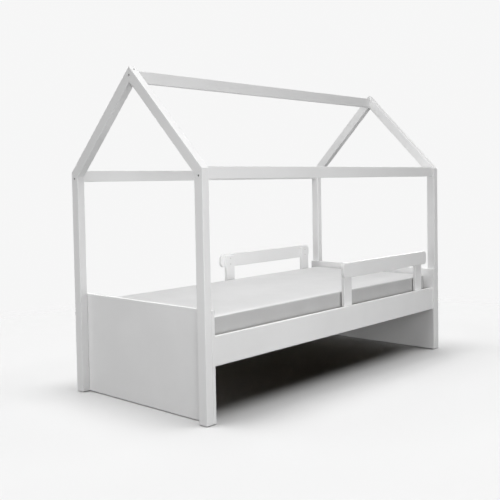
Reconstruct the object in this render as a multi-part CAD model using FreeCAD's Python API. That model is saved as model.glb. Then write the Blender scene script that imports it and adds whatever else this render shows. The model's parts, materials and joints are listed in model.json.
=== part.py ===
import FreeCAD, Part
import math
import os
from FreeCAD import Vector

# House frame bed: two gable ends of square timber, flat end panels, long side rails with
# a slatted base, a short guard on each long side, and a loose mattress.
# Millimetres. Origin: middle of the footprint, on the floor. X runs along the bed, from the
# foot end (-X) to the head end (+X); -Y is the front; Z is up.

# --- overall frame
BED_LENGTH = 2010.0            # over the outer faces of the posts
BED_WIDTH = 940.0              # over the outer faces of the posts
EAVE_HEIGHT = 1109.0           # outer corner where a rafter meets its post
APEX_HEIGHT = 1590.0           # outer tip of each gable

# --- posts and rafters
POST_WIDTH = 40.0              # along X; the rafters are as wide
POST_DEPTH = 50.0              # along Y
RAFTER_DEPTH = 50.0            # square to the slope
TIMBER_EASING = 2.5            # rounding of the long timber edges

# --- beams between the gables
BEAM_THICKNESS = 25.0
BEAM_HEIGHT = 56.0
EAVE_BEAM_INSET = 11.0         # from the outer face of the posts
EAVE_BEAM_RISE = 9.0           # its top above the eave corner
RIDGE_BEAM_DROP = 19.0         # its top below the tip of the gable

# --- end panels
PANEL_THICKNESS = 18.0
PANEL_TOP = 497.0
PANEL_EASING = 1.5

# --- side rails
RAIL_THICKNESS = 18.0
RAIL_HEIGHT = 131.0
RAIL_TOP = 382.0
RAIL_INSET = 6.0               # from the outer face of the posts
RAIL_EASING = 2.0

# --- slatted base
LEDGER_WIDTH = 45.0
LEDGER_HEIGHT = 30.0
LEDGER_DROP = 74.0             # from the top of the rail down to the top of the ledger
LEDGER_END_GAP = 2.0
SLAT_COUNT = 15
SLAT_WIDTH = 70.0
SLAT_THICKNESS = 16.0
SLAT_EDGE_GAP = 12.0           # between the last slat and the end panel
SLAT_END_GAP = 4.0             # between a slat's end and the guard posts
SLAT_EASING = 3.0

# --- guards
GUARD_LENGTH = 855.0
GUARD_HEIGHT = 78.0
GUARD_THICKNESS = 18.0
GUARD_RISE = 230.0             # from the top of the rail up to the top of the board
GUARD_CORNER_RADIUS = 25.0
GUARD_EASING = 2.5
GUARD_HEAD_GAPS = {"front": 74.5, "rear": 59.5}   # from the end of the board to the head panel
GUARD_POST_WIDTH = 70.0
GUARD_POST_THICKNESS = 18.0
GUARD_POST_INSET = 28.0        # from the end of the board
GUARD_POST_DROP = 10.0         # top of the post below the top of the board

# --- mattress
MATTRESS_THICKNESS = 143.0
MATTRESS_SIDE_GAP = 2.0        # to the guard posts
MATTRESS_END_GAP = 7.0         # to the end panels
MATTRESS_CROWN = 4.0
MATTRESS_SHOULDER = 10.0       # rounding of the top and bottom edges
MATTRESS_CORNER_RADIUS = 35.0
MATTRESS_SIDE_DRAW = 3.0       # how far the sides pull in between the corners
MATTRESS_CROWN_REACH = 250.0   # from the shoulder to the flat middle of the top
MATTRESS_SHOULDER_STEPS = 4
MATTRESS_CROWN_STEPS = 4

# --- floor glides
GLIDE_HEIGHT = 3.0
GLIDE_RADIUS = 13.0
GLIDE_BEVEL = 1.0
GLIDE_PIN_RADIUS = 1.6
GLIDE_PIN_LENGTH = 16.0

# --- fasteners: the play around a shank or dowel
FASTENER_PLAY = 0.1

FRAME_SCREW_LENGTH = 80.0      # posts and gables into the beam ends
APEX_SCREW_LENGTH = 50.0
FRAME_SCREW_RADIUS = 2.5
FRAME_HEAD_RADIUS = 4.5
FRAME_HEAD_HEIGHT = 4.0
FRAME_SCREW_RECESS = 3.0       # head below the wood's surface
FRAME_BORE_RADIUS = 5.0
EAVE_SCREW_DROP = 40.0         # below the top of the eave beam
RIDGE_SCREW_DROP = 22.0        # below the top of the ridge beam
APEX_SCREW_SETBACK = 20.0      # from the tip of the gable, along the slope

WOOD_SCREW_RADIUS = 2.0
WOOD_HEAD_RADIUS = 4.0
WOOD_HEAD_HEIGHT = 2.4
LEDGER_SCREW_BITE = 10.0       # depth into the rail
SLAT_SCREW_BITE = 19.0         # depth into the ledger
SLAT_SCREW_SETBACK = 11.5      # from the slat's end
GUARD_SCREW_BITE = 12.0        # depth into the board or the rail
GUARD_BOARD_SCREW_DROPS = (26.0, 60.0)    # below the top of the board
GUARD_RAIL_SCREW_DROPS = (20.0, 57.0)     # below the top of the rail

FRAME_DOWEL_RADIUS = 4.0
MITRE_DOWEL_IN_POST = 12.0
MITRE_DOWEL_IN_RAFTER = 18.0
PANEL_DOWEL_RADIUS = 5.0
PANEL_DOWEL_IN_POST = 20.0
PANEL_DOWEL_IN_PANEL = 14.0
PANEL_DOWEL_COUNT = 4          # in each post
PANEL_DOWEL_LOW = 57.0         # first dowel above the bottom edge of the panel
PANEL_DOWEL_HIGH = 47.0        # last dowel below the top edge
RAIL_DOWEL_IN_PANEL = 12.0
RAIL_DOWEL_IN_RAIL = 18.0
RAIL_DOWEL_DROPS = (17.0, 91.0)           # below the top of the rail

CAM_RADIUS = 7.5
CAM_DEPTH = 12.5
CAM_SETBACK = 24.0             # from the end of the rail to the middle of the cam
CAM_DROPS = (40.0, 116.0)      # below the top of the rail
CAM_SLOT_WIDTH = 1.6
CAM_SLOT_DEPTH = 2.5
CAM_BOLT_RADIUS = 3.0
CAM_BOLT_IN_PANEL = 11.0
CAM_BOLT_IN_CAM = 5.0

SAME_PLACE = 1e-6              # closer than this is the same place or direction

ENDS = {"foot": -1, "head": 1}
FACES = {"front": -1, "rear": 1}

# --- places that several pieces share
half_length = BED_LENGTH / 2
half_width = BED_WIDTH / 2
post_inner_x = half_length - POST_WIDTH
post_middle_x = half_length - POST_WIDTH / 2
post_middle_y = half_width - POST_DEPTH / 2
panel_inner_x = post_inner_x - PANEL_THICKNESS
slope = math.atan2(APEX_HEIGHT - EAVE_HEIGHT, half_width)
rail_outer_y = half_width - RAIL_INSET
rail_inner_y = rail_outer_y - RAIL_THICKNESS
guard_post_inner_y = rail_inner_y - GUARD_POST_THICKNESS
ledger_inner_y = rail_inner_y - LEDGER_WIDTH
ledger_top = RAIL_TOP - LEDGER_DROP
guard_top = RAIL_TOP + GUARD_RISE
eave_beam_top = EAVE_HEIGHT + EAVE_BEAM_RISE
ridge_beam_top = APEX_HEIGHT - RIDGE_BEAM_DROP
slat_top = ledger_top + SLAT_THICKNESS
slat_end_y = guard_post_inner_y - SLAT_END_GAP
slat_pitch = (2 * (panel_inner_x - SLAT_EDGE_GAP) - SLAT_WIDTH) / (SLAT_COUNT - 1)


# ---------------------------------------------------------------- basic solids

def block(low, high):
    """A box between two opposite corners, given in any order."""
    corner = Vector(*[min(a, b) for a, b in zip(low, high)])
    size = [abs(a - b) for a, b in zip(low, high)]
    return Part.makeBox(size[0], size[1], size[2], corner)


def eased(solid, radius, direction=None):
    """Round the straight edges that run along a direction, or every edge."""
    edges = []
    for edge in solid.Edges:
        if direction is None:
            edges.append(edge)
        else:
            run = edge.Vertexes[-1].Point - edge.Vertexes[0].Point
            if run.cross(direction).Length < SAME_PLACE * run.Length:
                edges.append(edge)
    return solid.makeFillet(radius, edges)


def bar_along_x(low, high, radius):
    return eased(block(low, high), radius, Vector(1, 0, 0))


def side_view_prism(points, x_from, x_to):
    """A prism whose outline is given by (y, z) points, running along X."""
    corners = [Vector(x_from, y, z) for y, z in points]
    outline = Part.makePolygon(corners + corners[:1])
    return Part.Face(outline).extrude(Vector(x_to - x_from, 0, 0))


def square_to(axis):
    """A direction at right angles to an axis."""
    steep = abs(axis.z) > abs(axis.x) + abs(axis.y)
    helper = Vector(0, 1, 0) if steep else Vector(0, 0, 1)
    return axis.cross(helper).normalize()


def turned(start, direction, steps):
    """A turned solid: steps are (distance, radius) pairs from the start along the direction."""
    axis = Vector(direction).normalize()
    outward = square_to(axis)
    rim = [start + axis * distance + outward * radius for distance, radius in steps]
    profile = [start + axis * steps[0][0]] + rim + [start + axis * steps[-1][0]]
    face = Part.Face(Part.makePolygon(profile + profile[:1]))
    return face.revolve(start, axis, 360)


def pin(start, direction, radius, length):
    return turned(start, direction, [(0, radius), (length, radius)])


def hex_recess(start, direction, radius, depth):
    """The driver's socket in a screw head."""
    axis = Vector(direction).normalize()
    across = square_to(axis)
    upward = axis.cross(across)
    corners = []
    for step in range(6):
        angle = math.radians(60 * step)
        spoke = across * math.cos(angle) + upward * math.sin(angle)
        corners.append(start + spoke * radius)
    return Part.Face(Part.makePolygon(corners + corners[:1])).extrude(axis * depth)


def drilled(solid, tools):
    for tool in tools:
        solid = solid.cut(tool)
    return solid


# ---------------------------------------------------------------- fasteners
# Each function returns the piece and the hole that takes it.

def frame_screw(surface, direction, length):
    """A socket-head screw sunk into a counterbore below the surface."""
    axis = Vector(direction).normalize()
    seat = FRAME_SCREW_RECESS + FRAME_HEAD_HEIGHT
    tip = FRAME_SCREW_RECESS + length
    body = turned(surface, axis, [(FRAME_SCREW_RECESS, FRAME_HEAD_RADIUS), (seat, FRAME_HEAD_RADIUS),
                                  (seat, FRAME_SCREW_RADIUS), (tip, FRAME_SCREW_RADIUS)])
    head = surface + axis * FRAME_SCREW_RECESS
    socket = hex_recess(head, axis, FRAME_HEAD_RADIUS / 2, FRAME_HEAD_HEIGHT / 2)
    bore = FRAME_SCREW_RADIUS + FASTENER_PLAY
    hole = turned(surface, axis, [(0, FRAME_BORE_RADIUS), (seat, FRAME_BORE_RADIUS),
                                  (seat, bore), (tip, bore)])
    return body.cut(socket), hole


def wood_screw(surface, direction, length):
    """A countersunk screw whose head lies flush with the surface."""
    axis = Vector(direction).normalize()
    bore = WOOD_SCREW_RADIUS + FASTENER_PLAY
    body = turned(surface, axis, [(0, WOOD_HEAD_RADIUS), (WOOD_HEAD_HEIGHT, WOOD_SCREW_RADIUS),
                                  (length, WOOD_SCREW_RADIUS)])
    socket = hex_recess(surface, axis, WOOD_HEAD_RADIUS / 2, WOOD_HEAD_HEIGHT / 2)
    hole = turned(surface, axis, [(0, WOOD_HEAD_RADIUS), (WOOD_HEAD_HEIGHT, bore), (length, bore)])
    return body.cut(socket), hole


def dowel(joint_face, direction, radius, depth_before, depth_after):
    """A glued dowel that crosses a joint face."""
    axis = Vector(direction).normalize()
    start = joint_face - axis * depth_before
    length = depth_before + depth_after
    return pin(start, axis, radius, length), pin(start, axis, radius + FASTENER_PLAY, length)


def cam_fitting(end, face, height):
    """A cam lock in a rail's inner side and the bolt that it draws from the end panel."""
    rail_middle_y = face * (rail_inner_y + RAIL_THICKNESS / 2)
    into_panel = Vector(end, 0, 0)
    bolt_length = CAM_SETBACK - CAM_RADIUS + CAM_BOLT_IN_CAM + CAM_BOLT_IN_PANEL
    bolt_start = Vector(end * (panel_inner_x + CAM_BOLT_IN_PANEL), rail_middle_y, height)
    bolt = pin(bolt_start, -into_panel, CAM_BOLT_RADIUS, bolt_length)
    bolt_hole = pin(bolt_start, -into_panel, CAM_BOLT_RADIUS + FASTENER_PLAY, bolt_length)
    cam_start = Vector(end * (panel_inner_x - CAM_SETBACK), face * rail_inner_y, height)
    cam_hole = pin(cam_start, Vector(0, face, 0), CAM_RADIUS + FASTENER_PLAY, CAM_DEPTH)
    slot_inner_y = face * (rail_inner_y + CAM_SLOT_DEPTH)
    slot = block((cam_start.x - CAM_RADIUS, face * rail_inner_y, height - CAM_SLOT_WIDTH / 2),
                 (cam_start.x + CAM_RADIUS, slot_inner_y, height + CAM_SLOT_WIDTH / 2))
    cam = pin(cam_start, Vector(0, face, 0), CAM_RADIUS, CAM_DEPTH).cut(bolt_hole).cut(slot)
    return bolt, bolt_hole, cam, cam_hole


# ---------------------------------------------------------------- joints between the pieces

def mitre_points():
    """(y, z) of the outer and inner corner of the mitre between a rear post and its rafter."""
    inner_line_y = half_width - RAFTER_DEPTH * math.sin(slope)
    inner_line_z = EAVE_HEIGHT - RAFTER_DEPTH * math.cos(slope)
    inner_y = half_width - POST_DEPTH
    inner_z = inner_line_z + (inner_line_y - inner_y) * math.tan(slope)
    return (half_width, EAVE_HEIGHT), (inner_y, inner_z)


def eave_screws(end, face):
    surface = Vector(end * half_length, face * (half_width - EAVE_BEAM_INSET - BEAM_THICKNESS / 2),
                     eave_beam_top - EAVE_SCREW_DROP)
    return frame_screw(surface, Vector(-end, 0, 0), FRAME_SCREW_LENGTH)


def ridge_screws(end):
    surface = Vector(end * half_length, 0, ridge_beam_top - RIDGE_SCREW_DROP)
    return frame_screw(surface, Vector(-end, 0, 0), FRAME_SCREW_LENGTH)


def apex_screws(end):
    """Through the top of the front rafter, square to it, into the rear rafter."""
    surface = Vector(end * post_middle_x, -APEX_SCREW_SETBACK * math.cos(slope),
                     APEX_HEIGHT - APEX_SCREW_SETBACK * math.sin(slope))
    return frame_screw(surface, Vector(0, math.sin(slope), -math.cos(slope)), APEX_SCREW_LENGTH)


def mitre_dowels(end, face):
    (outer_y, outer_z), (inner_y, inner_z) = mitre_points()
    middle = Vector(end * post_middle_x, face * (outer_y + inner_y) / 2, (outer_z + inner_z) / 2)
    upward = Vector(0, -face * (outer_z - inner_z), outer_y - inner_y)
    return dowel(middle, upward, FRAME_DOWEL_RADIUS, MITRE_DOWEL_IN_POST, MITRE_DOWEL_IN_RAFTER)


def panel_dowels(end, face):
    lowest = GLIDE_HEIGHT + PANEL_DOWEL_LOW
    spacing = (PANEL_TOP - PANEL_DOWEL_HIGH - lowest) / (PANEL_DOWEL_COUNT - 1)
    pairs = []
    for index in range(PANEL_DOWEL_COUNT):
        joint_face = Vector(end * post_inner_x, face * post_middle_y, lowest + index * spacing)
        pairs.append(dowel(joint_face, Vector(-end, 0, 0), PANEL_DOWEL_RADIUS,
                           PANEL_DOWEL_IN_POST, PANEL_DOWEL_IN_PANEL))
    return pairs


def rail_dowels(end, face):
    pairs = []
    for drop in RAIL_DOWEL_DROPS:
        joint_face = Vector(end * panel_inner_x, face * (rail_inner_y + RAIL_THICKNESS / 2), RAIL_TOP - drop)
        pairs.append(dowel(joint_face, Vector(-end, 0, 0), FRAME_DOWEL_RADIUS,
                           RAIL_DOWEL_IN_PANEL, RAIL_DOWEL_IN_RAIL))
    return pairs


def rail_cams(end, face):
    return [cam_fitting(end, face, RAIL_TOP - drop) for drop in CAM_DROPS]


def slat_middle(index):
    return -panel_inner_x + SLAT_EDGE_GAP + SLAT_WIDTH / 2 + index * slat_pitch


def ledger_screws(face):
    """One screw in every second gap between the slats."""
    height = ledger_top - LEDGER_HEIGHT / 2
    pairs = []
    for index in range(0, SLAT_COUNT - 1, 2):
        surface = Vector(slat_middle(index) + slat_pitch / 2, face * ledger_inner_y, height)
        pairs.append(wood_screw(surface, Vector(0, face, 0), LEDGER_WIDTH + LEDGER_SCREW_BITE))
    return pairs


def slat_screws(index):
    pairs = {}
    for name, face in FACES.items():
        surface = Vector(slat_middle(index), face * (slat_end_y - SLAT_SCREW_SETBACK), slat_top)
        pairs[name] = wood_screw(surface, Vector(0, 0, -1), SLAT_THICKNESS + SLAT_SCREW_BITE)
    return pairs


def guard_ends(face_name):
    """x of the guard board's two ends."""
    head_x = panel_inner_x - GUARD_HEAD_GAPS[face_name]
    return head_x - GUARD_LENGTH, head_x


def guard_post_middles(face_name):
    foot_x, head_x = guard_ends(face_name)
    setback = GUARD_POST_INSET + GUARD_POST_WIDTH / 2
    return {"foot": foot_x + setback, "head": head_x - setback}


def guard_screws(face_name, post_x, top, drops):
    face = FACES[face_name]
    pairs = []
    for drop in drops:
        surface = Vector(post_x, face * guard_post_inner_y, top - drop)
        pairs.append(wood_screw(surface, Vector(0, face, 0), GUARD_POST_THICKNESS + GUARD_SCREW_BITE))
    return pairs


# ---------------------------------------------------------------- wooden pieces

def post(end, face):
    (outer_y, outer_z), (inner_y, inner_z) = mitre_points()
    outline = [(face * outer_y, GLIDE_HEIGHT), (face * outer_y, outer_z),
               (face * inner_y, inner_z), (face * inner_y, GLIDE_HEIGHT)]
    timber = side_view_prism(outline, end * post_inner_x, end * half_length)
    timber = eased(timber, TIMBER_EASING, Vector(0, 0, 1))
    holes = [eave_screws(end, face)[1], mitre_dowels(end, face)[1], glide_pin(end, face, FASTENER_PLAY)]
    holes += [hole for _, hole in panel_dowels(end, face)]
    return drilled(timber, holes)


def rafter(end, face):
    (outer_y, outer_z), (inner_y, inner_z) = mitre_points()
    inner_apex_z = inner_z + inner_y * math.tan(slope)
    outline = [(face * outer_y, outer_z), (0, APEX_HEIGHT), (0, inner_apex_z), (face * inner_y, inner_z)]
    timber = side_view_prism(outline, end * post_inner_x, end * half_length)
    timber = eased(timber, TIMBER_EASING, Vector(0, -face * math.cos(slope), math.sin(slope)))
    holes = [mitre_dowels(end, face)[1], ridge_screws(end)[1], apex_screws(end)[1]]
    return drilled(timber, holes)


def eave_beam(face):
    outer_y = half_width - EAVE_BEAM_INSET
    timber = bar_along_x((-post_inner_x, face * outer_y, eave_beam_top - BEAM_HEIGHT),
                         (post_inner_x, face * (outer_y - BEAM_THICKNESS), eave_beam_top), TIMBER_EASING)
    return drilled(timber, [eave_screws(end, face)[1] for end in ENDS.values()])


def ridge_beam():
    timber = bar_along_x((-post_inner_x, -BEAM_THICKNESS / 2, ridge_beam_top - BEAM_HEIGHT),
                         (post_inner_x, BEAM_THICKNESS / 2, ridge_beam_top), TIMBER_EASING)
    return drilled(timber, [ridge_screws(end)[1] for end in ENDS.values()])


def end_panel(end):
    board = eased(block((end * post_inner_x, -half_width, GLIDE_HEIGHT),
                        (end * panel_inner_x, half_width, PANEL_TOP)), PANEL_EASING)
    holes = []
    for face in FACES.values():
        holes += [hole for _, hole in panel_dowels(end, face)]
        holes += [hole for _, hole in rail_dowels(end, face)]
        holes += [bolt_hole for _, bolt_hole, _, _ in rail_cams(end, face)]
    return drilled(board, holes)


def side_rail(face_name):
    face = FACES[face_name]
    board = bar_along_x((-panel_inner_x, face * rail_outer_y, RAIL_TOP - RAIL_HEIGHT),
                        (panel_inner_x, face * rail_inner_y, RAIL_TOP), RAIL_EASING)
    holes = [hole for _, hole in ledger_screws(face)]
    for end in ENDS.values():
        holes += [hole for _, hole in rail_dowels(end, face)]
        for _, bolt_hole, _, cam_hole in rail_cams(end, face):
            holes += [bolt_hole, cam_hole]
    for post_x in guard_post_middles(face_name).values():
        holes += [hole for _, hole in guard_screws(face_name, post_x, RAIL_TOP, GUARD_RAIL_SCREW_DROPS)]
    return drilled(board, holes)


def ledger(face_name):
    face = FACES[face_name]
    reach = panel_inner_x - LEDGER_END_GAP
    strip = bar_along_x((-reach, face * rail_inner_y, ledger_top - LEDGER_HEIGHT),
                        (reach, face * ledger_inner_y, ledger_top), RAIL_EASING)
    holes = [hole for _, hole in ledger_screws(face)]
    holes += [slat_screws(index)[face_name][1] for index in range(SLAT_COUNT)]
    return drilled(strip, holes)


def slat(index):
    middle = slat_middle(index)
    strip = eased(block((middle - SLAT_WIDTH / 2, -slat_end_y, ledger_top),
                        (middle + SLAT_WIDTH / 2, slat_end_y, slat_top)), SLAT_EASING, Vector(0, 1, 0))
    return drilled(strip, [hole for _, hole in slat_screws(index).values()])


def rounded_outline(x_from, x_to, z_from, z_to, radius, y):
    """A rectangle with round corners, upright at depth y."""
    diagonal = radius * (1 - math.sqrt(0.5))
    line, arc = Part.LineSegment, Part.Arc
    pieces = [
        line(Vector(x_from + radius, y, z_from), Vector(x_to - radius, y, z_from)),
        arc(Vector(x_to - radius, y, z_from), Vector(x_to - diagonal, y, z_from + diagonal),
            Vector(x_to, y, z_from + radius)),
        line(Vector(x_to, y, z_from + radius), Vector(x_to, y, z_to - radius)),
        arc(Vector(x_to, y, z_to - radius), Vector(x_to - diagonal, y, z_to - diagonal),
            Vector(x_to - radius, y, z_to)),
        line(Vector(x_to - radius, y, z_to), Vector(x_from + radius, y, z_to)),
        arc(Vector(x_from + radius, y, z_to), Vector(x_from + diagonal, y, z_to - diagonal),
            Vector(x_from, y, z_to - radius)),
        line(Vector(x_from, y, z_to - radius), Vector(x_from, y, z_from + radius)),
        arc(Vector(x_from, y, z_from + radius), Vector(x_from + diagonal, y, z_from + diagonal),
            Vector(x_from + radius, y, z_from)),
    ]
    return Part.Wire([piece.toShape() for piece in pieces])


def guard_board(face_name):
    """The long board of a guard, on the outer side of its two short posts."""
    face = FACES[face_name]
    foot_x, head_x = guard_ends(face_name)
    outline = rounded_outline(foot_x, head_x, guard_top - GUARD_HEIGHT, guard_top,
                              GUARD_CORNER_RADIUS, face * rail_inner_y)
    board = Part.Face(outline).extrude(Vector(0, face * GUARD_THICKNESS, 0))
    rims = []
    for edge in board.Edges:
        if abs(edge.Vertexes[0].Point.y - edge.Vertexes[-1].Point.y) < SAME_PLACE:
            rims.append(edge)
    board = board.makeFillet(GUARD_EASING, rims)
    holes = []
    for post_x in guard_post_middles(face_name).values():
        holes += [hole for _, hole in guard_screws(face_name, post_x, guard_top, GUARD_BOARD_SCREW_DROPS)]
    return drilled(board, holes)


def guard_post(face_name, post_x):
    """A short upright that stands on the ledger, against the rail and the guard board."""
    face = FACES[face_name]
    upright = eased(block((post_x - GUARD_POST_WIDTH / 2, face * guard_post_inner_y, ledger_top),
                          (post_x + GUARD_POST_WIDTH / 2, face * rail_inner_y, guard_top - GUARD_POST_DROP)),
                    GUARD_EASING)
    holes = [hole for _, hole in guard_screws(face_name, post_x, guard_top, GUARD_BOARD_SCREW_DROPS)]
    holes += [hole for _, hole in guard_screws(face_name, post_x, RAIL_TOP, GUARD_RAIL_SCREW_DROPS)]
    return drilled(upright, holes)


# ---------------------------------------------------------------- mattress

def mattress_section(inset, height):
    """The mattress from above at one height: round corners, and sides that pull in between them."""
    half_x = panel_inner_x - MATTRESS_END_GAP - inset
    half_y = guard_post_inner_y - MATTRESS_SIDE_GAP - inset
    radius = MATTRESS_CORNER_RADIUS
    diagonal = radius * (1 - math.sqrt(0.5))
    edges = []
    for quarter_x, quarter_y in ((1, 1), (-1, 1), (-1, -1), (1, -1)):
        along_x = Vector(quarter_x * (half_x - radius), quarter_y * half_y, height)
        along_y = Vector(quarter_x * half_x, quarter_y * (half_y - radius), height)
        through = Vector(quarter_x * (half_x - diagonal), quarter_y * (half_y - diagonal), height)
        if quarter_x == quarter_y:
            edges.append(Part.Arc(along_y, through, along_x))
            edges.append(Part.Arc(along_x, Vector(0, quarter_y * (half_y - MATTRESS_SIDE_DRAW), height),
                                  Vector(-along_x.x, along_x.y, height)))
        else:
            edges.append(Part.Arc(along_x, through, along_y))
            edges.append(Part.Arc(along_y, Vector(quarter_x * (half_x - MATTRESS_SIDE_DRAW), 0, height),
                                  Vector(along_y.x, -along_y.y, height)))
    return Part.Wire([edge.toShape() for edge in edges])


def mattress():
    """A closed cushion lofted upwards: flat underside, round shoulders, and a low crown."""
    low, high = slat_top, slat_top + MATTRESS_THICKNESS
    rim = high - MATTRESS_CROWN
    shoulder = []
    for step in range(MATTRESS_SHOULDER_STEPS + 1):
        turn = math.radians(90 * step / MATTRESS_SHOULDER_STEPS)
        shoulder.append((MATTRESS_SHOULDER * (1 - math.sin(turn)), MATTRESS_SHOULDER * (1 - math.cos(turn))))
    levels = [(inset, low + rise) for inset, rise in shoulder]
    levels += [(inset, rim - drop) for inset, drop in reversed(shoulder)]
    for step in range(1, MATTRESS_CROWN_STEPS + 1):
        share = step / MATTRESS_CROWN_STEPS
        inset = MATTRESS_SHOULDER + share * MATTRESS_CROWN_REACH
        levels.append((inset, rim + MATTRESS_CROWN * share * (2 - share)))
    return Part.makeLoft([mattress_section(inset, height) for inset, height in levels], True, True)


# ---------------------------------------------------------------- floor glides

def glide_pin(end, face, play):
    foot = Vector(end * post_middle_x, face * post_middle_y, GLIDE_HEIGHT)
    return pin(foot, Vector(0, 0, 1), GLIDE_PIN_RADIUS + play, GLIDE_PIN_LENGTH)


def glide(end, face):
    start = Vector(end * post_middle_x, face * post_middle_y, 0)
    pad = [(0, GLIDE_RADIUS - GLIDE_BEVEL), (GLIDE_BEVEL, GLIDE_RADIUS), (GLIDE_HEIGHT, GLIDE_RADIUS)]
    pin_steps = [(GLIDE_HEIGHT, GLIDE_PIN_RADIUS), (GLIDE_HEIGHT + GLIDE_PIN_LENGTH, GLIDE_PIN_RADIUS)]
    return turned(start, Vector(0, 0, 1), pad + pin_steps)


# ---------------------------------------------------------------- the whole bed

def wooden_nodes():
    nodes = {"ridge_beam": ridge_beam()}
    for end_name, end in ENDS.items():
        nodes[end_name + "_panel"] = end_panel(end)
        for face_name, face in FACES.items():
            nodes[end_name + "_" + face_name + "_post"] = post(end, face)
            nodes[end_name + "_" + face_name + "_rafter"] = rafter(end, face)
    for face_name, face in FACES.items():
        nodes[face_name + "_eave_beam"] = eave_beam(face)
        nodes[face_name + "_rail"] = side_rail(face_name)
        nodes[face_name + "_ledger"] = ledger(face_name)
        nodes[face_name + "_guard_board"] = guard_board(face_name)
        for place, post_x in guard_post_middles(face_name).items():
            nodes[face_name + "_guard_" + place + "_post"] = guard_post(face_name, post_x)
    for index in range(SLAT_COUNT):
        nodes["slat_" + str(index + 1).zfill(2)] = slat(index)
    return nodes


def fastener_nodes():
    """Identical fasteners share a node, each as its own solid."""
    corners = [(end, face) for end in ENDS.values() for face in FACES.values()]
    groups = {
        "eave_beam_screws": [eave_screws(end, face)[0] for end, face in corners],
        "ridge_beam_screws": [ridge_screws(end)[0] for end in ENDS.values()],
        "apex_screws": [apex_screws(end)[0] for end in ENDS.values()],
        "mitre_dowels": [mitre_dowels(end, face)[0] for end, face in corners],
        "panel_dowels": [piece for end, face in corners for piece, _ in panel_dowels(end, face)],
        "rail_dowels": [piece for end, face in corners for piece, _ in rail_dowels(end, face)],
        "cam_bolts": [bolt for end, face in corners for bolt, _, _, _ in rail_cams(end, face)],
        "cam_locks": [cam for end, face in corners for _, _, cam, _ in rail_cams(end, face)],
        "ledger_screws": [piece for face in FACES.values() for piece, _ in ledger_screws(face)],
        "slat_screws": [piece for index in range(SLAT_COUNT) for piece, _ in slat_screws(index).values()],
        "guard_board_screws": [],
        "guard_rail_screws": [],
        "floor_glides": [glide(end, face) for end, face in corners],
    }
    for face_name in FACES:
        for post_x in guard_post_middles(face_name).values():
            for name, top, drops in (("guard_board_screws", guard_top, GUARD_BOARD_SCREW_DROPS),
                                     ("guard_rail_screws", RAIL_TOP, GUARD_RAIL_SCREW_DROPS)):
                groups[name] += [piece for piece, _ in guard_screws(face_name, post_x, top, drops)]
    return {name: Part.makeCompound(pieces) for name, pieces in groups.items()}


def main():
    os.makedirs("parts", exist_ok=True)
    nodes = wooden_nodes()
    nodes["mattress"] = mattress()
    nodes.update(fastener_nodes())
    for name, shape in nodes.items():
        shape.exportStep("parts/" + name + ".step")
    print(len(nodes), "nodes,", sum(len(shape.Solids) for shape in nodes.values()), "solids")


main()
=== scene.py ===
# %% [markdown]
# # Dressing a house frame bed
#
# The bed's construction arrives finished: posts, mitred rafters, beams, panels, rails, slats
# and every screw already stand where their maker put them. This lesson gives each of them its
# finish, sews the mattress, and sets up a plain studio around them. Nothing of the frame is
# moved or reshaped, so every cell below only adds to it.

# %% Load the finished frame
import json
import math

import bmesh
import bpy
from mathutils import Matrix, Vector
from mathutils.bvhtree import BVHTree


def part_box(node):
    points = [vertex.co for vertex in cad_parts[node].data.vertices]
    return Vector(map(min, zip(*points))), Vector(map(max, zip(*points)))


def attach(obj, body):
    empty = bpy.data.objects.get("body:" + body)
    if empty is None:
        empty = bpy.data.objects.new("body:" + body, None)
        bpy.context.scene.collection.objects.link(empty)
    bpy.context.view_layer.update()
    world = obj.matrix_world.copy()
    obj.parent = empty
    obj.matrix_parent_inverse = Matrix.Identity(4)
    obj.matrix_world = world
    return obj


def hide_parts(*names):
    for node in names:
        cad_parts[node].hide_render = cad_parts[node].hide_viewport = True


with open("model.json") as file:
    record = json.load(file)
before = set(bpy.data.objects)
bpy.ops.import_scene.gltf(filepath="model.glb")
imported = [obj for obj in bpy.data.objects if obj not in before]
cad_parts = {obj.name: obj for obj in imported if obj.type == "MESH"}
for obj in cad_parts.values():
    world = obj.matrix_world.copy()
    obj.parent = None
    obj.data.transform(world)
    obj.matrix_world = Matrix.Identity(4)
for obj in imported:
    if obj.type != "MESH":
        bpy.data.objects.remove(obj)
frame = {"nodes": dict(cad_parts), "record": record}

scene = bpy.context.scene
scene.view_settings.view_transform = "Standard"
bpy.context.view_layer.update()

# %% [markdown]
# ## The camera
#
# The bed is looked at from its foot end, from the height of a child's eyes. A camera can be
# aimed with a constraint, but a stand is easier to read: a place, a heading, a tilt and a
# slight roll. The picture is cropped a little above the middle of what the lens saw, which is
# what the vertical shift says.

# %% Camera
CAMERA_PLACE = (-3.2941, -2.8230, 1.0451)
CAMERA_HEADING = 47.73         # degrees from the rear towards the head end
CAMERA_TILT = -2.33
CAMERA_ROLL = 1.01
CAMERA_LENS = 55.82            # millimetres
CAMERA_SENSOR = 36.0
CAMERA_SHIFT = (-0.0010, -0.0722)


def stand_camera():
    data = bpy.data.cameras.new("camera")
    data.lens = CAMERA_LENS
    data.sensor_width = CAMERA_SENSOR
    data.shift_x, data.shift_y = CAMERA_SHIFT
    camera = bpy.data.objects.new("camera", data)
    heading = Matrix.Rotation(math.radians(-CAMERA_HEADING), 4, "Z")
    tilt = Matrix.Rotation(math.radians(90 + CAMERA_TILT), 4, "X")
    roll = Matrix.Rotation(math.radians(-CAMERA_ROLL), 4, "Z")
    camera.matrix_world = Matrix.Translation(CAMERA_PLACE) @ heading @ tilt @ roll
    scene.collection.objects.link(camera)
    scene.camera = camera
    return camera


camera = stand_camera()
print("camera at", CAMERA_PLACE, "with a lens of", CAMERA_LENS, "mm")

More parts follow.
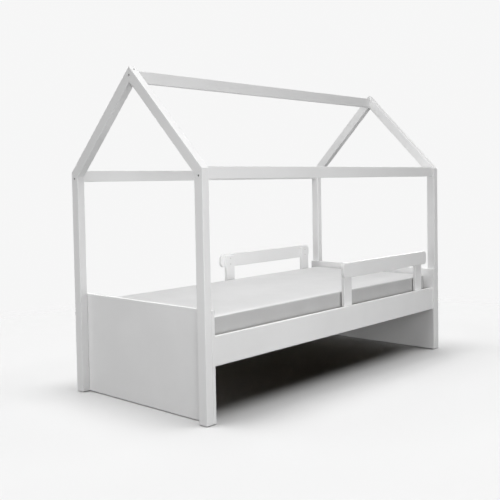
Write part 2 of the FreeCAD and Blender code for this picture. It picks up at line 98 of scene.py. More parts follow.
# %% [markdown]
# ## Writing shaders as sums
#
# A finish is a small graph of nodes, and most of those nodes only add or multiply. Wrapping a
# socket in a class with its own `+`, `-`, `*` and `/` lets Python write that arithmetic as it
# is written on paper, also with a plain number in front, as in `1 - mask`. Every other node
# comes from one method that sets the node up before it fills the sockets.

# %% Sockets that can be added and multiplied
class Signal:
    """One output of a node, ready to take part in a formula."""

    def __init__(self, sheet, socket):
        self.sheet = sheet
        self.socket = socket

    def __add__(self, other):
        return self.sheet.maths("ADD", self, other)

    def __radd__(self, other):
        return self.sheet.maths("ADD", other, self)

    def __sub__(self, other):
        return self.sheet.maths("SUBTRACT", self, other)

    def __rsub__(self, other):
        return self.sheet.maths("SUBTRACT", other, self)

    def __mul__(self, other):
        return self.sheet.maths("MULTIPLY", self, other)

    def __rmul__(self, other):
        return self.sheet.maths("MULTIPLY", other, self)

    def __truediv__(self, other):
        return self.sheet.maths("DIVIDE", self, other)


print("formulas can use + - * / on shader sockets")


# %% The sheet that the nodes are drawn on
class Sheet:
    """The node graph of one finish, of the sky or of the floor."""

    def __init__(self, owner):
        owner.use_nodes = True
        self.tree = owner.node_tree
        self.tree.nodes.clear()

    def node(self, kind, settings=None, sockets=None, output=0):
        """Add a node: its settings first, then the value or the link of each socket."""
        made = self.tree.nodes.new(kind)
        for name, value in (settings or {}).items():
            setattr(made, name, value)
        for name, value in (sockets or {}).items():
            if isinstance(value, Signal):
                self.tree.links.new(value.socket, made.inputs[name])
            else:
                made.inputs[name].default_value = value
        return Signal(self, made.outputs[output]) if made.outputs else None

    def maths(self, operation, first, second=0.0):
        return self.node("ShaderNodeMath", {"operation": operation}, {0: first, 1: second})

    def vector_maths(self, operation, first, second, output="Vector"):
        sockets = {0: first, 1: second}
        return self.node("ShaderNodeVectorMath", {"operation": operation}, sockets, output)

    def blend(self, share, first, second):
        """Mix two colours: a share of 0 gives the first."""
        colours = {0: share, 6: first, 7: second}
        return self.node("ShaderNodeMix", {"data_type": "RGBA"}, colours, output=2)

    def rescale(self, value, low, high, new_low=0.0, new_high=1.0):
        """Stretch the range low..high to a new range, and cut off what lies outside."""
        sockets = {"Value": value, "From Min": low, "From Max": high,
                   "To Min": new_low, "To Max": new_high}
        return self.node("ShaderNodeMapRange", {"interpolation_type": "SMOOTHSTEP"}, sockets)


print("a sheet adds nodes with one method")


# %% [markdown]
# ## Where a point lies, and which edge it is near
#
# Each piece of this bed keeps its vertices in the bed's own metres, so the object coordinate
# is already the place on the real bed, and a pattern can be given a real size. Real boards
# have slightly softened edges too. The Bevel node finds them: it averages the normals around
# a point, and where that average turns away from the true normal, an edge is near.

# %% Greys, coordinates, noise and edges
EDGE_REACH = 0.0025            # metres
EDGE_SAMPLES = 4
EDGE_TURN = (0.01, 0.2)        # how far the average turns away, on a face and on an edge


def grey(level):
    """The colour of one level in red, green and blue."""
    return (level, level, level, 1.0)


def bed_place(sheet):
    return sheet.node("ShaderNodeTexCoord", output="Object")


def split(sheet, vector):
    """The x, y and z of a vector as three signals."""
    parts = sheet.node("ShaderNodeSeparateXYZ", sockets={"Vector": vector})
    outputs = parts.socket.node.outputs
    return [Signal(sheet, outputs[axis]) for axis in ("X", "Y", "Z")]


def joined(sheet, x, y, z):
    return sheet.node("ShaderNodeCombineXYZ", sockets={"X": x, "Y": y, "Z": z})


def clouds(sheet, place, size, detail=2.0):
    """Noise from 0 to 1 with patches of about this size."""
    sockets = {"Vector": place, "Scale": 1 / size, "Detail": detail}
    return sheet.node("ShaderNodeTexNoise", sockets=sockets)


def softened_normal(sheet):
    sockets = {"Radius": EDGE_REACH}
    return sheet.node("ShaderNodeBevel", {"samples": EDGE_SAMPLES}, sockets)


def near_edge(sheet, soft):
    """0 on a flat face, rising to 1 on an edge."""
    straight = sheet.node("ShaderNodeNewGeometry", output="True Normal")
    agreement = sheet.vector_maths("DOT_PRODUCT", soft, straight, "Value")
    return sheet.rescale(1 - agreement, *EDGE_TURN)


print("patterns use real sizes, edges reach", EDGE_REACH, "m")

# %% [markdown]
# ## Finishing a finish
#
# Every finish ends in the same two nodes: the shader and the output. What is the same all
# over goes straight into the shader's sockets, and only colour, roughness and the little
# bumps are drawn.

# %% The last nodes of every finish
def finish_material(name, colour, roughness, height, relief, normal=None, **constants):
    """Join colour, roughness and a bump of real depth into one material."""
    sheet = colour.sheet
    sockets = {"Height": height, "Distance": relief, "Strength": 1.0}
    if normal is not None:
        sockets["Normal"] = normal
    bump = sheet.node("ShaderNodeBump", sockets=sockets)
    shading = {"Base Color": colour, "Roughness": roughness, "Normal": bump}
    for socket, value in constants.items():
        shading[socket.replace("_", " ")] = value
    surface = sheet.node("ShaderNodeBsdfPrincipled", sockets=shading, output="BSDF")
    sheet.node("ShaderNodeOutputMaterial", sockets={"Surface": surface})
    return bpy.data.materials[name]


print("a finish takes a colour, a roughness and a relief")

# %% [markdown]
# ## White lacquer on timber and on boards
#
# The bed is sprayed white and rubbed down to a satin sheen. A single flat white looks like
# plastic, and a picture of paint would have to be stretched over every piece. Drawn in the
# shader, the film gets a faint unevenness of tone and a fine orange peel at their real size,
# and each edge gets a painted highlight, a lighter line in the colour, and is a little smoother.
# On solid timber the grain still shows through as shallow furrows along the piece.

# %% Lacquer
LACQUER_WHITE = grey(0.82)
LACQUER_SHADE = grey(0.785)
# painted highlight: the lighter colour that every edge is blended to, in place of light caught
# there
PAINTED_EDGE_HIGHLIGHT = grey(0.85)
TONE_PATCH = 0.30
PEEL_SIZE = 0.0016
PEEL_RELIEF = 0.00004
FURROW_LENGTH = 0.12
FURROW_WIDTH = 0.0014
FURROW_SHARE = 0.6             # of the relief, and peel has the rest
STREAK_SHARE = 0.2             # of the tone
SATIN = (0.36, 0.46)           # roughness where the tone is darkest and lightest
EDGE_POLISH = 0.08             # how much smoother an edge is


def furrows(sheet, along, across, depth):
    """Fine streaks that run along the grain."""
    stretched = joined(sheet, along / FURROW_LENGTH, across / FURROW_WIDTH, depth / FURROW_WIDTH)
    return clouds(sheet, stretched, 1.0, 3.0)


def lacquer(name, grain_axes=None):
    """Satin white; grain_axes gives the signals along, across and deep, or None on a board."""
    sheet = Sheet(bpy.data.materials.new(name))
    place = bed_place(sheet)
    tone = clouds(sheet, place, TONE_PATCH, 4.0)
    peel = clouds(sheet, place, PEEL_SIZE)
    height = peel
    if grain_axes is not None:
        streaks = furrows(sheet, *grain_axes(sheet, place))
        height = peel * (1 - FURROW_SHARE) + streaks * FURROW_SHARE
        tone = tone * (1 - STREAK_SHARE) + streaks * STREAK_SHARE
    soft = softened_normal(sheet)
    edge = near_edge(sheet, soft)
    film = sheet.blend(sheet.rescale(tone, 0.3, 0.7), LACQUER_SHADE, LACQUER_WHITE)
    # painted highlight: the colour turns lighter along every edge
    colour = sheet.blend(edge, film, PAINTED_EDGE_HIGHLIGHT)
    roughness = sheet.rescale(tone, 0.2, 0.8, *SATIN) - edge * EDGE_POLISH
    return finish_material(name, colour, roughness, height, PEEL_RELIEF, soft)


print("orange peel of", PEEL_SIZE, "m, furrows of", FURROW_WIDTH, "m")

# %% [markdown]
# ## Grain follows the piece
#
# Grain runs along a board, whichever way that board points. Posts stand, beams lie along the
# bed, and rafters climb at the roof's slope. The two rafters of a gable mirror each other, so
# the distance from the middle plane is used instead of y, and one formula serves both.

# %% Directions of the grain
ROOF_SLOPE = math.radians(45.66)


def grain_upright(sheet, place):
    x, y, z = split(sheet, place)
    return z, x, y


def grain_lengthwise(sheet, place):
    x, y, z = split(sheet, place)
    return x, z, y


def grain_crosswise(sheet, place):
    x, y, z = split(sheet, place)
    return y, x, z


def grain_of_rafter(sheet, place):
    x, y, z = split(sheet, place)
    outward = sheet.maths("ABSOLUTE", y)
    along = z * math.sin(ROOF_SLOPE) - outward * math.cos(ROOF_SLOPE)
    across = z * math.cos(ROOF_SLOPE) + outward * math.sin(ROOF_SLOPE)
    return along, x, across


board_lacquer = lacquer("board_lacquer")
post_lacquer = lacquer("post_lacquer", grain_upright)
beam_lacquer = lacquer("beam_lacquer", grain_lengthwise)
rafter_lacquer = lacquer("rafter_lacquer", grain_of_rafter)
print("four lacquers, one for boards and three for timber")

# %% [markdown]
# ## Bare wood
#
# The slats under the mattress are left as planed pine, and the dowels are beech. Growth rings
# are one slow wave across the board that wanders as it runs along it. Knots are the cells of a
# Voronoi pattern, stretched the same way, and only a few of the cells are let through.

# %% Bare wood
PINE_EARLY = (0.72, 0.53, 0.33, 1.0)
PINE_LATE = (0.52, 0.33, 0.17, 1.0)
PINE_KNOT = (0.23, 0.12, 0.055, 1.0)
BEECH_EARLY = (0.66, 0.47, 0.32, 1.0)
BEECH_LATE = (0.53, 0.34, 0.21, 1.0)
RING_WIDTH = 0.0065
RING_WANDER = 0.035
WANDER_LENGTH = 0.45
WANDER_WIDTH = 0.10
RING_SLANT = 0.5               # how far the rings lean through the thickness
RING_SHARE = 0.75              # of the colour, and fibre has the rest
KNOT_SPACING = (0.30, 0.075)
KNOT_RARITY = 0.72             # share of the cells that have no knot
KNOT_RIM = (0.12, 0.05)        # distances from a cell's heart, in cells
PLANED = (0.5, 0.68)           # roughness
FIBRE_RELIEF = 0.7
RING_RELIEF = 0.3
RUBBED_EDGE = 0.3
WOOD_RELIEF = 0.00012


def growth_rings(sheet, along, across, depth):
    """0 in the pale early wood, 1 in the dark line that closes a year."""
    slow = joined(sheet, along / WANDER_LENGTH, across / WANDER_WIDTH, depth / WANDER_WIDTH)
    wander = clouds(sheet, slow, 1.0, 3.0) * RING_WANDER
    years = (across + depth * RING_SLANT + wander) / RING_WIDTH
    return sheet.maths("FRACT", years)


def knots(sheet, along, across):
    """1 inside a knot: the heart of a few stretched cells."""
    cell_place = joined(sheet, along / KNOT_SPACING[0], across / KNOT_SPACING[1], 0.0)
    cell = sheet.node("ShaderNodeTexVoronoi", {"voronoi_dimensions": "2D"}, {"Vector": cell_place})
    tint = Signal(sheet, cell.socket.node.outputs["Color"])
    chosen = sheet.maths("GREATER_THAN", split(sheet, tint)[0], KNOT_RARITY)
    return sheet.rescale(cell, *KNOT_RIM) * chosen


def bare_wood(name, early, late, grain_axes, with_knots):
    sheet = Sheet(bpy.data.materials.new(name))
    along, across, depth = grain_axes(sheet, bed_place(sheet))
    ring = growth_rings(sheet, along, across, depth)
    fibre = furrows(sheet, along, across, depth)
    late_share = sheet.rescale(ring, 0.35, 1.0) * RING_SHARE + fibre * (1 - RING_SHARE)
    colour = sheet.blend(late_share, early, late)
    if with_knots:
        colour = sheet.blend(knots(sheet, along, across), colour, PINE_KNOT)
    soft = softened_normal(sheet)
    colour = sheet.blend(near_edge(sheet, soft) * RUBBED_EDGE, colour, early)
    roughness = sheet.rescale(fibre, 0.2, 0.8, *PLANED)
    height = fibre * FIBRE_RELIEF - ring * RING_RELIEF
    return finish_material(name, colour, roughness, height, WOOD_RELIEF, soft)


slat_pine = bare_wood("slat_pine", PINE_EARLY, PINE_LATE, grain_crosswise, True)
ledger_pine = bare_wood("ledger_pine", PINE_EARLY, PINE_LATE, grain_lengthwise, True)
dowel_beech = bare_wood("dowel_beech", BEECH_EARLY, BEECH_LATE, grain_lengthwise, False)
print("pine rings of", RING_WIDTH, "m")

# %% [markdown]
# ## Metal and plastic
#
# The screws that hold the frame are blackened steel, sunk in their holes, and read as small
# dark dots. The wood screws are zinc plated and the cam locks are cast. All three are one
# recipe: a metal whose brightness and roughness change in small patches, from handling and
# from the tool. The glides are a plain moulded plastic with a matt skin.

# %% Metal and plastic
STEEL_DARK = (0.02, 0.02, 0.022, 1.0)
STEEL_BRIGHT = (0.09, 0.09, 0.095, 1.0)
ZINC_DARK = (0.46, 0.46, 0.45, 1.0)
ZINC_BRIGHT = (0.70, 0.70, 0.69, 1.0)
METALS = {                     # two colours, patch size, two roughnesses, relief
    "black_steel": (STEEL_DARK, STEEL_BRIGHT, 0.002, 0.3, 0.5, 0.00003),
    "zinc_plate": (ZINC_DARK, ZINC_BRIGHT, 0.0015, 0.22, 0.42, 0.00002),
    "cast_zinc": (grey(0.34), grey(0.52), 0.0009, 0.4, 0.6, 0.00008),
}
RUB_SHARE = 0.6                # how bright a rubbed edge gets
GLIDE_LOW = (0.70, 0.70, 0.69, 1.0)
GLIDE_HIGH = (0.80, 0.80, 0.79, 1.0)
SKIN_GRAIN = 0.0006
SKIN_RELIEF = 0.00005
SCUFF_SIZE = 0.006


def metal(name, dark, bright, patch, rough_low, rough_high, relief):
    sheet = Sheet(bpy.data.materials.new(name))
    place = bed_place(sheet)
    wear = clouds(sheet, place, patch, 5.0)
    soft = softened_normal(sheet)
    rubbed = near_edge(sheet, soft)
    colour = sheet.blend(sheet.rescale(wear, 0.35, 0.7), dark, bright)
    colour = sheet.blend(rubbed * RUB_SHARE, colour, bright)
    roughness = sheet.rescale(wear, 0.2, 0.8, rough_low, rough_high)
    return finish_material(name, colour, roughness, wear, relief, soft, Metallic=1.0)


def moulded_plastic(name):
    sheet = Sheet(bpy.data.materials.new(name))
    place = bed_place(sheet)
    skin = clouds(sheet, place, SKIN_GRAIN)
    scuffs = clouds(sheet, place, SCUFF_SIZE, 5.0)
    colour = sheet.blend(sheet.rescale(scuffs, 0.35, 0.65), GLIDE_LOW, GLIDE_HIGH)
    roughness = sheet.rescale(scuffs, 0.3, 0.7, 0.42, 0.6)
    return finish_material(name, colour, roughness, skin, SKIN_RELIEF)


metals = {name: metal(name, *recipe) for name, recipe in METALS.items()}
glide_plastic = moulded_plastic("glide_plastic")
print("three metals and one plastic")

# %% [markdown]
# ## Which piece wears what
#
# The record that came with the frame names a slot for every node, and a slot is a promise
# about the kind of finish. Within the lacquered slot, the node's own name tells whether it is a
# post, a beam, a rafter or a board, and so which way its grain runs. In the same way the pine
# slot holds slats, which lie across the bed, and ledgers, which run along it.

# %% Dress the frame
FINISH_OF_SLOT = {
    "white_lacquer": board_lacquer,
    "slat_pine": slat_pine,
    "frame_screw_steel": metals["black_steel"],
    "screw_steel": metals["zinc_plate"],
    "cam_zinc": metals["cast_zinc"],
    "dowel_beech": dowel_beech,
    "glide_plastic": glide_plastic,
}
FINISH_OF_WORD = {
    "guard_board": beam_lacquer,
    "post": post_lacquer,
    "beam": beam_lacquer,
    "rafter": rafter_lacquer,
    "ledger": ledger_pine,
}


def finish_for(node_name, slot_name):
    if slot_name in ("white_lacquer", "slat_pine"):
        for word, finish in FINISH_OF_WORD.items():
            if word in node_name:
                return finish
    return FINISH_OF_SLOT[slot_name]


def dress_frame():
    dressed = 0
    for subpart in frame["record"]["subparts"]:
        name, slot_name = subpart["node"], subpart["material_slot"]
        if slot_name == "mattress_cover":
            continue
        materials = frame["nodes"][name].data.materials
        materials.clear()
        materials.append(finish_for(name, slot_name))
        dressed += 1
    return dressed


print("dressed", dress_frame(), "nodes")

# %% [markdown]
# ## The mattress cover
#
# The cover is a fine white jersey. Its loops are smaller than a pixel from where the camera
# stands, but they take the shine off the cloth and show when the viewer comes close. Two
# crossed waves make the loops, and the direction of the surface picks the pair that fits:
# along and across on the top, along and up on the border. The border is cut from a greyer cloth
# than the top. Broad soft clouds under the loops are the places where it lies a little looser.

# %% Jersey
TOP_SHADE = grey(0.825)
TOP_WHITE = grey(0.860)
BORDER_SHADE = grey(0.485)
BORDER_GREY = grey(0.525)
LOOP_PITCH = 0.0022
LOOP_RELIEF = 0.00022
SLACK_PATCH = 0.16
SLACK_SHARE = 0.75             # of the tone, and the loops have the rest
FACING = (0.6, 0.8)            # where one pair of directions gives way to the next
CLOTH_ROUGHNESS = (0.95, 0.8)  # between the loops and on them
CLOTH_SHEEN = 0.12


def loops(sheet, first, second):
    """Crossed waves, 0 to 1, with one loop in each pitch."""
    turn = 2 * math.pi / LOOP_PITCH
    columns = sheet.maths("SINE", first * turn)
    rows = sheet.maths("SINE", second * turn + columns)
    return (columns + rows) * 0.25 + 0.5


def jersey(name):
    sheet = Sheet(bpy.data.materials.new(name))
    place = bed_place(sheet)
    x, y, z = split(sheet, place)
    facing = sheet.node("ShaderNodeNewGeometry", output="True Normal")
    steep_x, _, steep_z = [sheet.maths("ABSOLUTE", part) for part in split(sheet, facing)]
    on_top = sheet.rescale(steep_z, *FACING)
    on_end = sheet.rescale(steep_x, *FACING)
    border = loops(sheet, x, z) * (1 - on_end) + loops(sheet, y, z) * on_end
    knit = loops(sheet, x, y) * on_top + border * (1 - on_top)
    slack = clouds(sheet, place, SLACK_PATCH, 3.0)
    tone = sheet.rescale(slack * SLACK_SHARE + knit * (1 - SLACK_SHARE), 0.3, 0.7)
    top_colour = sheet.blend(tone, TOP_SHADE, TOP_WHITE)
    border_colour = sheet.blend(tone, BORDER_SHADE, BORDER_GREY)
    colour = sheet.blend(on_top, border_colour, top_colour)
    roughness = sheet.rescale(knit, 0.0, 1.0, *CLOTH_ROUGHNESS)
    return finish_material(name, colour, roughness, knit, LOOP_RELIEF, Sheen_Weight=CLOTH_SHEEN)


mattress_jersey = jersey("mattress_jersey")
print("jersey loops of", LOOP_PITCH, "m")

# %% [markdown]
# ## The mattress, cut and closed
#
# A foam mattress is a block with round corners and round shoulders, whose sides draw in a
# little between the corners and whose top rises in a low crown. It can be modelled as a stack
# of closed outlines, each a little smaller towards the top and the bottom. It is cut slightly
# lower than its space, because filling it later makes its top and its underside swell.

# %% Outline of the mattress
mattress_low, mattress_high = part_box("mattress")
MATTRESS_SWELL = 0.004         # how far filling may push the cloth
MATTRESS_SHOULDER = 0.009
MATTRESS_CORNER = 0.040
MATTRESS_DRAW = 0.004          # how far a side draws in at its middle
MATTRESS_CROWN = 0.004
SLAT_CLEARANCE = 0.0005
CORNER_STEPS = 8
SIDE_STEP = 0.03
QUARTERS = ((1, 1), (-1, 1), (-1, -1), (1, -1))

half_length = mattress_high.x
half_width = mattress_high.y
underside = mattress_low.z + MATTRESS_SWELL + SLAT_CLEARANCE
rim_height = mattress_high.z - MATTRESS_CROWN - MATTRESS_SWELL


def side_points(start, travel, inward, run):
    """One side between two corners, drawn in towards its middle."""
    steps = round(run / SIDE_STEP)
    points = []
    for step in range(1, steps):
        share = step / steps
        dip = MATTRESS_DRAW * math.sin(math.pi * share)
        points.append(start + travel * (run * share) + inward * dip)
    return points


def outline(inset=0.0):
    """Points once round the mattress, with every corner and side pulled in by the inset."""
    radius = MATTRESS_CORNER - inset
    corner_x, corner_y = half_length - MATTRESS_CORNER, half_width - MATTRESS_CORNER
    points = []
    for quarter, (sign_x, sign_y) in enumerate(QUARTERS):
        centre = Vector((sign_x * corner_x, sign_y * corner_y, 0))
        for step in range(CORNER_STEPS + 1):
            angle = math.radians(90 * (quarter + step / CORNER_STEPS))
            points.append(centre + Vector((math.cos(angle), math.sin(angle), 0)) * radius)
        back, across = Vector((-sign_x, 0, 0)), Vector((0, -sign_y, 0))
        if quarter % 2 == 0:
            points += side_points(points[-1], back, across, 2 * corner_x)
        else:
            points += side_points(points[-1], across, back, 2 * corner_y)
    return points


print("the outline has", len(outline()), "points")


# %% Close the outlines into a cushion
SHOULDER_RINGS = 6
CROWN_RINGS = 6
CROWN_REACH = 0.9              # share of the way to the middle
BEND_IN = 0.001                # the crown stops this much below its full height


def shoulder_rings(height, upward):
    """Outlines that round one edge, from the border inwards if upward is 1."""
    rings = []
    for step in range(SHOULDER_RINGS + 1):
        angle = math.radians(90 * step / SHOULDER_RINGS)
        inset = MATTRESS_SHOULDER * (1 - math.cos(angle))
        drop = MATTRESS_SHOULDER * (1 - math.sin(angle))
        lift = Vector((0, 0, height - upward * drop))
        rings.append([point + lift for point in outline(inset)])
    return rings


def crown_rings(rim):
    """Outlines that shrink towards the middle of the top while they rise."""
    rings = []
    for step in range(1, CROWN_RINGS + 1):
        share = step / CROWN_RINGS
        shrink = 1 - CROWN_REACH * share
        rise = (MATTRESS_CROWN - BEND_IN) * share * (2 - share)
        step_in = Matrix.Diagonal((shrink, shrink, 1.0))
        rings.append([step_in @ point + Vector((0, 0, rise)) for point in rim])
    return rings


def skin_rings(name, rings):
    """Faces between rings of equal count, and a lid on each end."""
    shape = bmesh.new()
    rows = [[shape.verts.new(point) for point in ring] for ring in rings]
    for lower, upper in zip(rows, rows[1:]):
        for index in range(len(lower)):
            after = (index + 1) % len(lower)
            shape.faces.new((lower[index], lower[after], upper[after], upper[index]))
    shape.faces.new(list(reversed(rows[0])))
    shape.faces.new(rows[-1])
    for face in shape.faces:
        face.smooth = True
    mesh = bpy.data.meshes.new(name)
    shape.to_mesh(mesh)
    shape.free()
    piece = bpy.data.objects.new(name, mesh)
    scene.collection.objects.link(piece)
    return piece


def cut_mattress():
    bottom = list(reversed(shoulder_rings(underside, -1)))
    top = shoulder_rings(rim_height, 1)
    return skin_rings("mattress_cover", bottom + top + crown_rings(top[-1]))


mattress_cover = cut_mattress()
print("cut the mattress:", len(mattress_cover.data.vertices), "points")

# %% [markdown]
# ## Filling the mattress
#
# Foam pushes its cover out evenly, and the cloth holds it back at the corners and the edges.
# That is what the Cloth simulation does with pressure and no gravity, so the piece is first
# given an even skin of small faces, then inflated for twenty steps. A foam block hardly
# swells, so no point may travel further than a few millimetres, and the result is applied.

# %% Inflate the cover
SKIN_VOXEL = 0.008
FILL_PRESSURE = 4.0
FILL_FRAMES = 20


def apply_modifiers(piece):
    """Replace the piece's mesh by what its modifiers make of it."""
    graph = bpy.context.evaluated_depsgraph_get()
    made = bpy.data.meshes.new_from_object(piece.evaluated_get(graph))
    piece.modifiers.clear()
    piece.data = made


def remesh(piece):
    skin = piece.modifiers.new("even_skin", "REMESH")
    skin.mode = "VOXEL"
    skin.voxel_size = SKIN_VOXEL
    skin.use_smooth_shade = True
    apply_modifiers(piece)


def inflate(piece):
    before = [vertex.co.copy() for vertex in piece.data.vertices]
    cloth = piece.modifiers.new("filling", "CLOTH")
    cloth.settings.use_pressure = True
    cloth.settings.uniform_pressure_force = FILL_PRESSURE
    cloth.settings.effector_weights.gravity = 0
    cloth.point_cache.frame_end = FILL_FRAMES
    for number in range(1, FILL_FRAMES + 1):
        scene.frame_set(number)
    apply_modifiers(piece)
    scene.frame_set(1)
    furthest = 0.0
    for vertex, start in zip(piece.data.vertices, before):
        travel = vertex.co - start
        furthest = max(furthest, travel.length)
        if travel.length > MATTRESS_SWELL:
            vertex.co = start + travel.normalized() * MATTRESS_SWELL
    return furthest


def smooth_once(piece):
    finer = piece.modifiers.new("finer", "SUBSURF")
    finer.levels = finer.render_levels = 1
    apply_modifiers(piece)


remesh(mattress_cover)
print("the cloth wanted to travel", round(inflate(mattress_cover), 4), "m")
smooth_once(mattress_cover)
print("filled the mattress:", len(mattress_cover.data.vertices), "points")

# %% [markdown]
# ## Seams
#
# The top of the cover is sewn to its border with a narrow cord of the same cloth, and so is
# the underside. The cord has to lie on the filled surface, which has moved a little, so each of
# its points is found by looking outwards from inside the mattress until the cloth is met.

# %% Sew the seams
SEAM_RADIUS = 0.0016
SEAM_SIDES = 8
SEAM_STEP = 4                  # cord points between two outline points
LOOK_DEPTH = 0.03


def finer_loop(points):
    """Add even steps between the points of a closed loop."""
    made = []
    for point, after in zip(points, points[1:] + points[:1]):
        for step in range(SEAM_STEP):
            made.append(point.lerp(after, step / SEAM_STEP))
    return made


def seam_path(surface, rim, upward):
    """Where the cloth is met, looking outwards through the middle of the shoulder."""
    path = []
    loop = finer_loop(outline(MATTRESS_SHOULDER))
    for index, point in enumerate(loop):
        travel = loop[(index + 1) % len(loop)] - loop[index - 1]
        outward = Vector((travel.y, -travel.x, 0)).normalized()
        eye = Vector((point.x, point.y, rim - upward * MATTRESS_SHOULDER)) - outward * LOOK_DEPTH
        eye.z -= upward * LOOK_DEPTH
        met = surface.ray_cast(eye, (outward + Vector((0, 0, upward))).normalized())[0]
        path.append(met)
    return path


def tube(name, path):
    """A closed cord round a loop of points."""
    shape = bmesh.new()
    rows = []
    for index, point in enumerate(path):
        forward = (path[(index + 1) % len(path)] - path[index - 1]).normalized()
        sideways = forward.cross(Vector((0, 0, 1))).normalized()
        upright = sideways.cross(forward)
        row = []
        for side in range(SEAM_SIDES):
            angle = 2 * math.pi * side / SEAM_SIDES
            spoke = sideways * math.cos(angle) + upright * math.sin(angle)
            row.append(shape.verts.new(point + spoke * SEAM_RADIUS))
        rows.append(row)
    for row, after in zip(rows, rows[1:] + rows[:1]):
        for side in range(SEAM_SIDES):
            turned = (side + 1) % SEAM_SIDES
            face = shape.faces.new((row[side], after[side], after[turned], row[turned]))
            face.smooth = True
    mesh = bpy.data.meshes.new(name)
    bmesh.ops.recalc_face_normals(shape, faces=shape.faces)
    shape.to_mesh(mesh)
    shape.free()
    piece = bpy.data.objects.new(name, mesh)
    scene.collection.objects.link(piece)
    return piece


def sew_seams():
    surface = BVHTree.FromObject(mattress_cover, bpy.context.evaluated_depsgraph_get())
    return [tube("mattress_top_seam", seam_path(surface, rim_height, 1)),
            tube("mattress_bottom_seam", seam_path(surface, underside, -1))]


seams = sew_seams()
print("sewed", [seam.name for seam in seams])

# %% Put the mattress in the bed
mattress_cover.data.materials.clear()
mattress_cover.data.materials.append(mattress_jersey)
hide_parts("mattress")
for soft_piece in [mattress_cover] + seams:
    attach(soft_piece, "mattress")
for seam in seams:
    seam.data.materials.append(mattress_jersey)
print("the mattress rides on its own body")

# %% [markdown]
# ## Floor and sky
#
# The bed stands in an empty pale studio. The floor is a disc that fades into the sky before
# its rim, so no horizon shows. What the lens sees of floor and sky, straight or by way of a
# shiny part, is pale grey. For light that bounces about they are nearly black, which leaves the
# shading of the bed to the lamps and keeps the shadow under it deep.

# %% Floor and sky
BACKDROP_GREY = grey(0.925)
FLOOR_GREY = grey(0.84)
FLOOR_BOUNCE = grey(0.025)
FLOOR_RADIUS = 9.0
FLOOR_STEPS = 48
FADE_FROM = 1.9
FADE_TO = 3.2
SKY_GLOW = grey(0.004)


def seen_by_lens(sheet):
    """1 for rays from the lens, also by way of a mirror or glass."""
    light_path = sheet.node("ShaderNodeLightPath")
    outputs = light_path.socket.node.outputs
    names = ("Is Camera Ray", "Is Glossy Ray", "Is Transmission Ray")
    seen = [Signal(sheet, outputs[name]) for name in names]
    direct = sheet.maths("LESS_THAN", Signal(sheet, outputs["Diffuse Depth"]), 0.5)
    return sheet.maths("MAXIMUM", seen[0], sheet.maths("MAXIMUM", seen[1], seen[2])) * direct


def paint_sky():
    world = bpy.data.worlds.new("studio_sky")
    scene.world = world
    sheet = Sheet(world)
    colour = sheet.blend(seen_by_lens(sheet), SKY_GLOW, BACKDROP_GREY)
    sky = sheet.node("ShaderNodeBackground", sockets={"Color": colour, "Strength": 1.0})
    sheet.node("ShaderNodeOutputWorld", sockets={"Surface": sky})


def floor_finish():
    sheet = Sheet(bpy.data.materials.new("studio_floor"))
    seen = seen_by_lens(sheet)
    x, y, z = split(sheet, bed_place(sheet))
    distance = sheet.maths("SQRT", x * x + y * y)
    fade = sheet.rescale(distance, FADE_FROM, FADE_TO)
    colour = sheet.blend(seen, FLOOR_BOUNCE, FLOOR_GREY)
    matt = sheet.node("ShaderNodeBsdfDiffuse", sockets={"Color": colour})
    clear = sheet.node("ShaderNodeBsdfTransparent")
    surface = sheet.node("ShaderNodeMixShader", sockets={0: fade * seen, 1: matt, 2: clear})
    sheet.node("ShaderNodeOutputMaterial", sockets={"Surface": surface})
    return bpy.data.materials["studio_floor"]


def lay_floor():
    shape = bmesh.new()
    bmesh.ops.create_circle(shape, cap_ends=True, segments=FLOOR_STEPS, radius=FLOOR_RADIUS)
    mesh = bpy.data.meshes.new("studio_floor")
    shape.to_mesh(mesh)
    shape.free()
    mesh.materials.append(floor_finish())
    floor = bpy.data.objects.new("studio_floor", mesh)
    scene.collection.objects.link(floor)
    return floor


paint_sky()
floor = lay_floor()
print("floor of", FLOOR_RADIUS, "m under a pale sky")

# %% [markdown]
# ## Lamps
#
# All the light is soft. Over the bed hang a broad sun and a large panel, which light whatever
# looks up, and a small sun brightens the ledges on top of the rails and panels. Round the foot
# end and the front stand four more panels, most of them low, because the posts and the rail are
# brighter near the floor than the roof is. They leave out the slats, so it stays dark under the
# bed. Two low suns fill the head end and the rear, and two weak ones help the far gable and the
# rear guard. The floor has three suns of its own that lean to different corners, so the bed's
# shadow lies close round it. Light linking keeps each lamp to its own subject.

# %% Who is lit together
UNDER_WORDS = ("slat", "ledger")
LEDGE_NODES = ("front_rail", "rear_rail", "foot_panel", "head_panel")
REAR_NODES = ("head_rear_post", "rear_guard_board", "rear_guard_foot_post",
              "rear_guard_head_post", "guard_board_screws")
GABLE_NODES = ("head_panel", "head_front_rafter", "head_rear_rafter")


def group_of(name, members):
    """A collection that a lamp can be linked to."""
    group = bpy.data.collections.new(name)
    for member in members:
        group.objects.link(member)
    return group


def nodes_named(names):
    return [frame["nodes"][name] for name in names]


bed_pieces = [piece for piece in scene.objects if piece.type == "MESH" and piece != floor]
outer_pieces = [piece for piece in bed_pieces
                if not any(word in piece.name for word in UNDER_WORDS)]
hard_pieces = [piece for piece in outer_pieces if "mattress" not in piece.name]
LIT_TOGETHER = {
    "bed": group_of("bed_pieces", bed_pieces),
    "sides": group_of("outer_pieces", outer_pieces),
    "back": group_of("back_pieces", hard_pieces),
    "ledges": group_of("ledge_pieces", nodes_named(LEDGE_NODES)),
    "rear": group_of("rear_pieces", nodes_named(REAR_NODES)),
    "gable": group_of("gable_pieces", nodes_named(GABLE_NODES)),
    "floor": group_of("studio_pieces", [floor]),
}

# %% Lamps
SOFT_SUN = {"angle": math.radians(70)}
LEANING_SUN = {"angle": math.radians(40)}
NARROW_SUN = {"angle": math.radians(35)}
SHARP_SUN = {"angle": math.radians(12)}
ABOVE = (0.0, 0.0, 4.0)
CENTRE = (0.0, 0.0, 0.0)


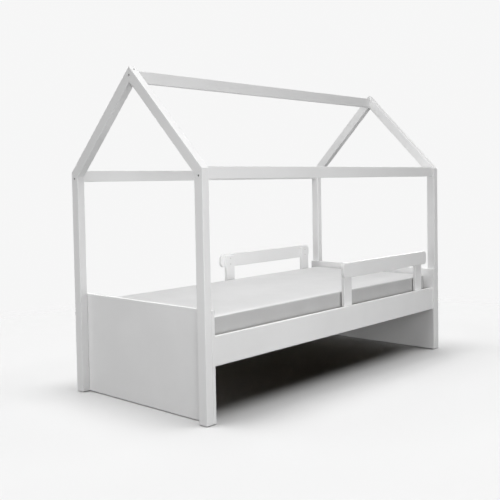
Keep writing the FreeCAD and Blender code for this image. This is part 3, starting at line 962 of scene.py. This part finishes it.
def panel(width, height):
    return {"shape": "RECTANGLE", "size": width, "size_y": height}


LAMPS = (                      # subjects, name, kind, place, aim, power and shape
    ("bed", "overhead_sun", "SUN", ABOVE, CENTRE, 1.90, SOFT_SUN),
    ("bed", "overhead_panel", "AREA", (-0.8, -0.3, 3.0), (-0.6, -0.2, 0.0), 14.0, panel(2.0, 2.0)),
    ("sides", "corner_panel", "AREA", (-2.7, -2.6, 1.3), (-0.5, -0.2, 0.7), 28.0, panel(1.4, 1.4)),
    ("sides", "high_panel", "AREA", (-3.0, -3.2, 3.2), (0.0, 0.0, 0.7), 8.0, panel(2.2, 1.8)),
    ("sides", "foot_panel", "AREA", (-3.6, 0.3, 0.45), (0.0, 0.0, 0.35), 29.0, panel(2.2, 0.8)),
    ("sides", "front_panel", "AREA", (-0.3, -3.6, 0.6), (0.0, 0.0, 0.4), 51.0, panel(2.4, 1.0)),
    ("back", "back_sun_head", "SUN", (4.0, 1.3, 0.35), CENTRE, 1.45, NARROW_SUN),
    ("back", "back_sun_rear", "SUN", (1.3, 4.0, 0.35), CENTRE, 1.40, NARROW_SUN),
    ("ledges", "ledge_sun", "SUN", ABOVE, CENTRE, 1.0, SHARP_SUN),
    ("rear", "rear_sun", "SUN", (-2.2, -2.2, 2.0), CENTRE, 0.95, NARROW_SUN),
    ("gable", "gable_sun", "SUN", (-3.0, 0.4, 1.6), CENTRE, 0.55, NARROW_SUN),
    ("floor", "floor_sun_foot", "SUN", (-1.5, 1.5, 4.0), CENTRE, 1.56, LEANING_SUN),
    ("floor", "floor_sun_head", "SUN", (1.5, 1.5, 4.0), CENTRE, 0.61, LEANING_SUN),
    ("floor", "floor_sun_front", "SUN", (1.2, -1.2, 4.0), CENTRE, 1.62, LEANING_SUN),
)


def hang_lamp(subjects, name, kind, place, aim, power, shape):
    """A lamp at a place, turned to its aim, that lights only its subjects."""
    data = bpy.data.lights.new(name, kind)
    data.energy = power
    for setting, value in shape.items():
        setattr(data, setting, value)
    made = bpy.data.objects.new(name, data)
    turn = (Vector(aim) - Vector(place)).to_track_quat("-Z", "Y")
    made.matrix_world = Matrix.Translation(place) @ turn.to_matrix().to_4x4()
    made.light_linking.receiver_collection = LIT_TOGETHER[subjects]
    scene.collection.objects.link(made)
    return made


lamps = [hang_lamp(*row) for row in LAMPS]
print("lamps:", [hung.name for hung in lamps])
